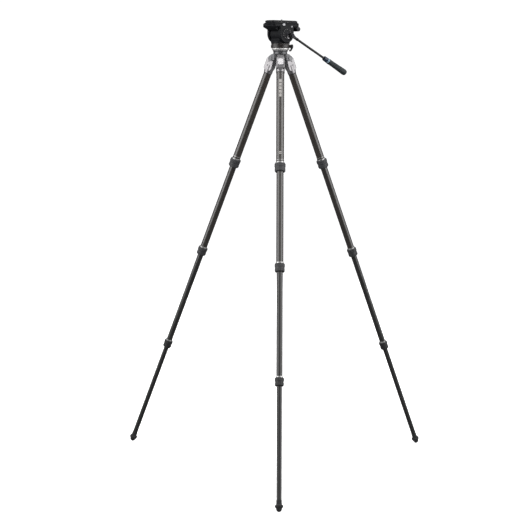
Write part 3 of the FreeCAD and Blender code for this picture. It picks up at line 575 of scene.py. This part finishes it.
def tube_marking():
    """Plain pale bars down the front of the front leg's top tube, and a small pair lower down."""
    bm = bmesh.new()
    rows = ((5, -91.0, 14.6, 11.6, 0.34), (2, -379.0, 6.0, 3.5, 0.30))
    for count, first_top, pitch, length, half_angle in rows:
        for k in range(count):
            top = first_top - pitch * k
            tube_patch(bm, TUBE_R[0], half_angle, top, top - length)
    finish_piece("front_tube_marking", mesh_of(bm, "marking"), LEG["front"], "front_leg", MARK)


def tab_inlay(leg, low, high):
    """Bright plate set into the tab's face, with rounded corners and a chamfered edge."""
    face = high.x
    top, bottom = -9.6, low.z + 3.2
    half, corner = 9.4, 4.6
    bm = bmesh.new()
    loops = []
    for x, inset in ((face - 0.1, 0.0), (face + 0.3, 0.0), (face + 0.6, 0.4)):
        outline = rounded_outline((-half + inset, bottom + inset), (half - inset, top - inset),
                                  corner - inset)
        loops.append([bm.verts.new((x, y, z)) for y, z in outline])
    count = len(loops[0])
    for a, b in zip(loops, loops[1:]):
        for k in range(count):
            j = (k + 1) % count
            bm.faces.new((a[k], a[j], b[j], b[k]))
    bm.faces.new(loops[0][::-1])
    bm.faces.new(loops[-1])
    finish_piece(f"{leg}_tab_inlay", mesh_of(bm, "inlay"), LEG[leg], f"{leg}_tab", INLAY_METAL,
                 30)


def casting_details(leg):
    """Set screws in the casting's sides, the gasket under its socket, the tab's inlay and its ridges."""
    low, high = span(f"{leg}_leg_casting", LEG[leg])
    bm = bmesh.new()
    for side in (1, -1):
        for at in ((6.5, -15.0), (6.5, -31.0)):
            add_turned(bm, socket_head(2.6, 1.1, 1.3, 0.7), 32,
                       facing((0, side, 0), (at[0], side * (high.y - 0.05), at[1])))
    finish_piece(f"{leg}_casting_screws", mesh_of(bm, "screws"), LEG[leg], f"{leg}_leg",
                 LEG_METAL)
    ring_on_tube(f"{leg}_socket_gasket", leg, f"{leg}_leg", TUBE_R[0], 0.9, low.z - 0.05, 1.6,
                 SHADED_COLLAR_RUBBER[2])
    tab_low, tab_high = span(f"{leg}_angle_tab", LEG[leg])
    tab_inlay(leg, tab_low, tab_high)
    bm = bmesh.new()
    for k in range(3):
        add_block(bm, (0.5, 11.0 - 1.6 * k, 0.9), (tab_high.x + 0.6, 0, tab_low.z + 10.0 - 2.6 * k),
                  bevel=0.2)
    finish_piece(f"{leg}_tab_ridges", mesh_of(bm, "ridges"), LEG[leg], f"{leg}_tab", INLAY_METAL)


for leg in LEGS:
    for lock in range(3):
        lock_collar(leg, lock)
    foot_rubber(leg)
    casting_details(leg)
    seat_top = span(f"{leg}_lock_seat_1", LEG[leg])[1].z
    ring_on_tube(f"{leg}_tube_band", leg, f"{leg}_leg", TUBE_R[0], 0.35, seat_top + 8.0, 1.8,
                 SEAT_METAL[leg])
tube_marking()


# ---- pieces on the hub and the head's base ------------------------------------------------------------
def hub_details():
    """Bezels and recessed screws in the hub's three ports."""
    port_z = HEAD_BASE / MM - 16.7
    face = 26.5                 # from the hub's axis to the mouth of a port
    bm = bmesh.new()
    dark = bmesh.new()
    for leg in LEGS:
        out = Vector(JOINTS[f"{leg}_tab_pull"]["axis"])
        way = Vector((out.x, out.y, 0)).normalized()
        at = facing(way, way * (face - 0.6) + Vector((0, 0, port_z)))
        add_turned(bm, [(4.55, 0), (6.2, 0), (6.2, 1.0), (5.7, 1.5), (4.9, 1.5), (4.55, 1.1)], 48, at)
        deep = facing(way, way * (face - 5.0) + Vector((0, 0, port_z)))
        add_turned(dark, socket_head(3.6, 2.4, 1.8, 1.6), 32, deep)
    finish_piece("hub_port_bezels", mesh_of(bm, "bezels"), HUB, "hub", HUB_METAL)
    finish_piece("hub_port_screws", mesh_of(dark, "port_screws"), HUB, "hub", STEEL)


def base_scale():
    """Graduations round the base, with a longer one every thirty degrees."""
    radius, top = 35.0, 15.8
    count = 72
    bm = bmesh.new()
    for k in range(count):
        angle = PI2 * k / count
        long = 2.4 if k % 6 == 0 else (1.7 if k % 2 == 0 else 1.1)
        way = Vector((math.cos(angle), math.sin(angle), 0))
        turn = Matrix.Rotation(angle, 4, "Z")
        add_block(bm, (0.22, 0.34, long), way * (radius + 0.05) + Vector((0, 0, top - long / 2)), turn)
    finish_piece("pan_scale", mesh_of(bm, "scale"), HEAD, "hub", MARK)


def level_details():
    """Bezel, bubble and target ring of the round level."""
    low, high = span("bubble_level", HEAD)
    centre = (low + high) / 2
    top = high.z
    bm = bmesh.new()
    add_turned(bm, [(5.0, -0.6), (6.3, -0.6), (6.3, 0.3), (5.9, 0.7), (5.0, 0.7)], 48,
               Matrix.Translation((centre.x, centre.y, top)))
    finish_piece("level_bezel", mesh_of(bm, "bezel"), HEAD, "hub", BLACK_STEEL)
    bm = bmesh.new()
    add_turned(bm, [(1.9, 0), (2.2, 0), (2.2, 0.12), (1.9, 0.12)], 40,
               Matrix.Translation((centre.x, centre.y, top + 0.02)))
    add_turned(bm, [(0, 0), (1.1, 0), (1.0, 0.16), (0.6, 0.3), (0, 0.36)], 24,
               Matrix.Translation((centre.x + 0.5, centre.y + 0.3, top + 0.02)))
    finish_piece("level_ring_and_bubble", mesh_of(bm, "bubble"), HEAD, "hub", MARK)


hub_details()
base_scale()
level_details()


# ---- pieces on the fluid head ---------------------------------------------------------------------------
ROSETTE_AT = (-16.0, 45.8)      # x and z of the handle's clamp cap on the left cheek
CAP_AT = (-4.5, 40.5)           # x and z of the drag screw's cap on the left cheek
DIAL_FACE = 41.6                # y of the raised disc on a cheek
CHEEK_FACE = 39.9               # y where the small parts on a cheek's side start
PLATFORM_FACE = 35.9            # y where the screws in the platform's side start


def cheek_details(side, name):
    """Dial ring with ticks, a capped axle and cover screws on the outside of a cheek."""
    face = side * DIAL_FACE
    bm = bmesh.new()
    add_turned(bm, [(18.6, 0), (20.4, 0), (20.2, 0.5), (18.9, 0.5)], 96,
               facing((0, side, 0), (0, face, TILT_Z)))
    for k in range(10):
        angle = PI2 * (k + 0.5) / 10
        radius = 12.5 if k % 2 else 9.5
        add_turned(bm, dome_cap(0.9, 0.35, 0.1, 0.15), 16,
                   facing((0, side, 0), (radius * math.cos(angle), face, TILT_Z + radius * math.sin(angle))))
    add_turned(bm, socket_head(5.6, 1.4, 2.4, 1.0), 48, facing((0, side, 0), (0, face, TILT_Z)))
    finish_piece(f"{name}_cheek_dial", mesh_of(bm, "dial"), HEAD, "cradle", BLACK_STEEL)
    ticks = bmesh.new()
    for k in range(36):
        angle = PI2 * k / 36
        long = 2.6 if k % 3 == 0 else 1.5
        radius = 18.0 - long / 2
        at = Vector((radius * math.cos(angle), face + side * 0.08, TILT_Z + radius * math.sin(angle)))
        under_rosette = math.dist((at.x, at.z), ROSETTE_AT) < 12
        under_cap = math.dist((at.x, at.z), CAP_AT) < 9
        if side > 0 and (under_rosette or under_cap):
            continue
        add_block(ticks, (long, 0.16, 0.34), at, Matrix.Rotation(-angle, 4, "Y"))
    finish_piece(f"{name}_cheek_ticks", mesh_of(ticks, "ticks"), HEAD, "cradle", MARK)
    screws = bmesh.new()
    circle = 27.5
    for angle in (25, 155, 270):
        x = circle * math.cos(math.radians(angle))
        z = TILT_Z + circle * math.sin(math.radians(angle))
        add_turned(screws, socket_head(2.3, 1.2, 1.2, 0.8), 32,
                   facing((0, side, 0), (x, side * CHEEK_FACE, z)))
    finish_piece(f"{name}_cheek_screws", mesh_of(screws, "screws"), HEAD, "cradle", BLACK_STEEL)


def silver_caps():
    """Polished cap beside the clamp, and the drag screw's cap low on the left cheek."""
    bm = bmesh.new()
    add_turned(bm, dome_cap(4.0, 1.6, 0.9), 48, facing((0, 1, 0), (-22.5, CHEEK_FACE, 80.0)))
    finish_piece("catch_cap", mesh_of(bm, "cap"), HEAD, "cradle", SILVER)
    bm = bmesh.new()
    points = [(0, 0, 0), (6.2, 0, 0), (6.2, 0.3, 0.5), (6.2, 2.2, 0.5), (5.6, 2.8, 0), (2.2, 2.8, 0),
              (2.2, 1.6, 0), (0, 1.6, 0)]
    add_turned(bm, [q[:2] for q in points], 144, facing((0, 1, 0), (CAP_AT[0], DIAL_FACE - 0.1, CAP_AT[1])),
               spread(points, (18, 0.5)))
    finish_piece("drag_screw_cap", mesh_of(bm, "cap"), HEAD, "cradle", LEG_METAL)


def ribbed_pad():
    """Rubber pad of the camera plate: a thin sheet with ribs, open round the screw."""
    low, high = span("plate_pads", HEAD)
    screw_low, screw_high = span("camera_screw", HEAD)
    hole = ((screw_low.x + screw_high.x) / 2, (screw_low.y + screw_high.y) / 2)
    hole_r = 9.5
    sheet_top = high.z - 0.55
    bm = bmesh.new()
    outer = rounded_outline(low, high, 5.0)
    count = len(outer)
    inner = []
    for x, y in outer:
        angle = math.atan2(y - hole[1], x - hole[0])
        inner.append((hole[0] + hole_r * math.cos(angle), hole[1] + hole_r * math.sin(angle)))
    loops = [[bm.verts.new((x, y, z)) for x, y in loop]
             for loop, z in ((outer, low.z), (outer, sheet_top), (inner, sheet_top), (inner, low.z))]
    for a, b in zip(loops, loops[1:] + loops[:1]):
        for k in range(count):
            j = (k + 1) % count
            bm.faces.new((a[k], a[j], b[j], b[k]))
    ribs = 15
    for k in range(ribs):
        y = low.y + 1.6 + (high.y - low.y - 3.2) * k / (ribs - 1)
        inset = 3.5 if k in (0, ribs - 1) else 1.2
        start, end = low.x + inset, high.x - inset
        gap = hole_r + 0.6
        chord = math.sqrt(gap * gap - (y - hole[1]) ** 2) if abs(y - hole[1]) < gap else 0
        runs = [(start, hole[0] - chord), (hole[0] + chord, end)] if chord else [(start, end)]
        for a, b in runs:
            add_block(bm, (b - a, 1.2, 0.75), ((a + b) / 2, y, high.z - 0.375), bevel=0.22, segments=1)
    finish_piece("plate_pad_ribbed", mesh_of(bm, "pad"), HEAD, "plate", PAD_RUBBER, 30,
                 ["plate_pads"])


def threaded_camera_screw():
    """Camera screw with its thread, on a plain round head."""
    low, high = span("camera_screw", HEAD)
    x, y = (low.x + high.x) / 2, (low.y + high.y) / 2
    radius, pitch = 3.175, 1.27     # a quarter-inch screw with twenty threads to the inch
    start = high.z - 5.6
    outline = [(0, low.z), (8.4, low.z), (8.4, low.z + 4.4), (7.9, low.z + 5.0), (2.6, low.z + 5.0),
               (2.6, start)]
    steps = 36
    first, last = len(outline), len(outline) + steps
    threads = [(radius, start + (high.z - start - 0.5) * k / steps) for k in range(steps + 1)]
    outline += threads + [(radius - 0.6, high.z), (0, high.z)]

    def shape(i, angle):
        """Helical thread on the shank's points, and nothing on the others."""
        if not first <= i <= last:
            return 1.0
        t = (outline[i][1] / pitch - angle / PI2) % 1.0
        return 1 - 0.55 * abs(2 * t - 1) / radius
    bm = bmesh.new()
    add_turned(bm, outline, 48, Matrix.Translation((x, y, 0)), shape)
    finish_piece("camera_screw_threaded", mesh_of(bm, "screw"), HEAD, "camera_screw_body", STEEL,
                 50, ["camera_screw"])


def platform_details():
    """Cap screws let into the platform's side and the scale along the plate's edge."""
    screws = bmesh.new()
    for x in (-40.0, 40.0):
        for side in (1, -1):
            if side > 0 and x < 0:      # the plate clamp's boss is there
                continue
            add_turned(screws, socket_head(2.2, 1.0, 1.1, 0.7), 32,
                       facing((0, side, 0), (x, side * PLATFORM_FACE, 85.2)))
    finish_piece("platform_screws", mesh_of(screws, "screws"), HEAD, "cradle", BLACK_STEEL)
    marks = bmesh.new()
    low, high = span("quick_release_plate", HEAD)
    for k in range(17):
        x = (low.x + high.x) / 2 - 32.0 + 4.0 * k
        tall = 2.4 if k % 4 == 0 else 1.4
        for side in (1, -1):
            add_block(marks, (0.34, 0.16, tall), (x, side * (high.y + 0.06), 97.2 + tall / 2))
    finish_piece("plate_scale", mesh_of(marks, "marks"), HEAD, "plate", MARK)


def knob_details():
    """Caps on the heads of the plate clamp, the pan lock and the tilt lock."""
    low, high = span("plate_clamp_knob", HEAD)
    centre = (low + high) / 2
    bm = bmesh.new()
    add_turned(bm, dome_cap(5.6, 0.5, 0.4, 0.3), 48, facing((0, 1, 0), (centre.x, high.y - 0.05, centre.z)))
    finish_piece("plate_clamp_cap", mesh_of(bm, "cap"), HEAD, "plate_clamp", BLACK_STEEL)
    axis = HEAD.inverted().to_3x3() @ Vector(JOINTS["pan_lock_turn"]["axis"])
    bm = bmesh.new()
    add_turned(bm, dome_cap(4.6, 0.5, 0.4, 0.3), 40, facing(axis, axis * 48.95 + Vector((0, 0, 7.0))))
    finish_piece("pan_lock_cap", mesh_of(bm, "cap"), HEAD, "pan_lock", BLACK_STEEL)
    bm = bmesh.new()
    add_turned(bm, dome_cap(4.6, 0.5, 0.4, 0.3), 40, facing((0, -1, 0), (-7.0, -47.95, 35.5)))
    finish_piece("tilt_lock_cap", mesh_of(bm, "cap"), HEAD, "tilt_lock", BLACK_STEEL)


for side, name in ((1, "left"), (-1, "right")):
    cheek_details(side, name)
silver_caps()
ribbed_pad()
threaded_camera_screw()
platform_details()
knob_details()


# ---- pan handle --------------------------------------------------------------------------------------------
def handle_frame():
    """Z along the bar, origin on the axis that the handle is set about."""
    pivot = Vector(JOINTS["handle_angle"]["pos_m"])
    points = [v.co for v in frame["nodes"]["handle_grip"].data.vertices]
    along = (sum(points, Vector()) / len(points) - pivot).normalized()
    side = Vector(JOINTS["handle_angle"]["axis"])
    return axes_matrix(side, along.cross(side), along, pivot)


HANDLE = handle_frame()
GRIP_END = 306.0                # from the handle's pivot to the end of the grip
BAR_R = 4.5                     # radius of the bar


def grip():
    """Fluted rubber grip, with a dark collar and a pale blue ring in front of it."""
    collar = [(BAR_R, 180), (8.2, 180), (9.0, 180.6), (9.4, 182), (9.8, 190), (9.9, 196.4),
              (9.6, 197), (BAR_R, 197)]
    bm = bmesh.new()
    turned_mesh(bm, collar, 96)
    finish_piece("grip_collar", mesh_of(bm, "collar"), HANDLE, "handle", NAVY)
    ring = [(BAR_R, 197.2), (9.9, 197.2), (10.2, 197.6), (10.3, 204.2), (10.0, 204.6), (BAR_R, 204.6)]
    bm = bmesh.new()
    turned_mesh(bm, ring, 96)
    finish_piece("grip_ring", mesh_of(bm, "ring"), HANDLE, "handle", PALE_BLUE)
    points = [(BAR_R, 204.8, 0), (10.0, 204.8, 0), (10.6, 205.6, 0), (10.8, 208, 0), (10.7, 212, 0)]
    steps = 16
    for k in range(steps + 1):
        z = 214.0 + 4.4 * k
        swell = 10.45 + 1.5 * (k / steps) ** 1.6
        depth = 0.75 * min(1.0, k / 2, (steps - k) / 2)
        points.append((swell, z, depth))
        if k % 4 == 3:
            points += [(swell, z + 1.2, depth), (swell - 0.7, z + 1.6, 0), (swell - 0.7, z + 2.6, 0),
                       (swell, z + 3.0, depth)]
    points += [(12.0, 287, 0), (12.0, 297, 0), (11.4, 300.5, 0), (10.2, 303, 0), (7.5, 305.1, 0),
               (4.2, 305.9, 0), (0, GRIP_END, 0), (0, GRIP_END - 7, 0), (BAR_R, GRIP_END - 7, 0)]
    bm = bmesh.new()
    turned_mesh(bm, [q[:2] for q in points], 168, spread(points, (14, 0.4)))
    finish_piece("grip_sleeve", mesh_of(bm, "grip"), HANDLE, "handle", GRIP_RUBBER, 40,
                 ["handle_grip"])


def handle_details():
    """Knurled clamp cap on the handle's eye and a lock ring at the bar's root."""
    face = span("handle_rosette", HEAD)[1].y
    bm = bmesh.new()
    points = [(0, 0, 0), (7.2, 0, 0), (7.2, 0.5, 0.5), (7.2, 3.2, 0.5), (6.4, 4.2, 0), (3.0, 4.2, 0),
              (3.0, 2.2, 0), (0, 2.2, 0)]
    add_turned(bm, [q[:2] for q in points], 160,
               facing((0, 1, 0), (ROSETTE_AT[0], face - 4.1, ROSETTE_AT[1])), spread(points, (20, 0.5)))
    finish_piece("handle_clamp_cap", mesh_of(bm, "cap"), HEAD, "cradle", BLACK_STEEL)
    ring = [(BAR_R, 26.0), (5.6, 26.0), (5.9, 26.4), (5.9, 30.6), (5.6, 31.0), (BAR_R, 31.0)]
    bm = bmesh.new()
    turned_mesh(bm, ring, 64)
    finish_piece("bar_lock_ring", mesh_of(bm, "ring"), HANDLE, "handle", BLACK_STEEL)


grip()
handle_details()


# ---- stage: floor, lights and camera --------------------------------------------------------------
def floor():
    """White paper under the object, left out of the object's reflections and of the light on it."""
    reach, thick = 60000, 1000
    bm = bmesh.new()
    turned_mesh(bm, [(0, -thick), (reach, -thick), (reach, 0), (0, 0)], 64)
    mesh = mesh_of(bm, "studio_floor")
    mesh.transform(Matrix.Scale(MM, 4))
    look = Look("floor_paper", Roughness=0.8, Specular_IOR_Level=0.1, Emission_Color=(1, 1, 1, 1),
                Emission_Strength=0.74)
    cloud = look.noise(look.place(), 0.8, 2.0)
    mesh.materials.append(look.set(Base_Color=look.mix(cloud, (0.86, 0.86, 0.86), (0.88, 0.88, 0.88))))
    ground = bpy.data.objects.new("studio_floor", mesh)
    ground.visible_diffuse = False
    ground.visible_glossy = False
    bpy.context.scene.collection.objects.link(ground)


def lamp(name, kind, energy, at, aim, **props):
    """A light at one point, aimed at another."""
    data = bpy.data.lights.new(name, kind)
    data.energy = energy
    for key, value in props.items():
        setattr(data, key, value)
    light = bpy.data.objects.new(name, data)
    bpy.context.scene.collection.objects.link(light)
    light.location = at
    light.rotation_euler = (Vector(aim) - Vector(at)).to_track_quat("-Z", "Y").to_euler()


def studio_world():
    """White where the camera sees it, and a dim cool fill on the object."""
    world = bpy.data.worlds.new("studio")
    bpy.context.scene.world = world
    world.use_nodes = True
    tree = world.node_tree
    tree.nodes.clear()
    add = tree.nodes.new
    seen = add("ShaderNodeBackground")
    seen.inputs["Color"].default_value = (1, 1, 1, 1)
    seen.inputs["Strength"].default_value = 1.05
    lit = add("ShaderNodeBackground")
    lit.inputs["Color"].default_value = (0.93, 0.96, 1, 1)
    lit.inputs["Strength"].default_value = 0.12
    path = add("ShaderNodeLightPath")
    mix = add("ShaderNodeMixShader")
    out = add("ShaderNodeOutputWorld")
    tree.links.new(path.outputs["Is Camera Ray"], mix.inputs[0])
    tree.links.new(lit.outputs[0], mix.inputs[1])
    tree.links.new(seen.outputs[0], mix.inputs[2])
    tree.links.new(mix.outputs[0], out.inputs["Surface"])


def camera():
    """The photograph's viewpoint: in front, a little below the head, looking slightly down."""
    pitch = math.radians(7.254)
    roll = 0.0099                                      # radians
    level = Vector((0.01063, 1, 0)).normalized()       # the way the camera looks, seen from above
    position = (-0.1128, -5.8742, 1.5335)
    ahead = level * math.cos(pitch) - Vector((0, 0, math.sin(pitch)))
    right = ahead.cross(Vector((0, 0, 1))).normalized()
    up = right.cross(ahead)
    right_rolled = right * math.cos(roll) + up * math.sin(roll)
    up_rolled = up * math.cos(roll) - right * math.sin(roll)
    data = bpy.data.cameras.new("camera")
    data.sensor_width = 36.0
    data.lens = 103.55
    data.clip_end = 200.0
    view = bpy.data.objects.new("camera", data)
    bpy.context.scene.collection.objects.link(view)
    view.matrix_world = axes_matrix(right_rolled, up_rolled, -ahead, position)
    bpy.context.scene.camera = view


floor()
studio_world()
lamp("sky_soft", "SUN", 1.1, (0.4, -0.6, 6), (0, 0, 0), angle=math.radians(100))
MIDDLE = (0, 0, 1.2)            # what the soft boxes are aimed at
lamp("box_left", "AREA", 235, (-3.8, -1.6, 2.4), MIDDLE, shape="RECTANGLE", size=4.2, size_y=5.0)
lamp("box_right", "AREA", 225, (3.8, -1.6, 2.4), MIDDLE, shape="RECTANGLE", size=4.2, size_y=5.0)
lamp("box_back", "AREA", 120, (0.6, 4.6, 2.8), MIDDLE, shape="RECTANGLE", size=5.0, size_y=4.0)
camera()
bpy.context.scene.view_settings.view_transform = "Standard"
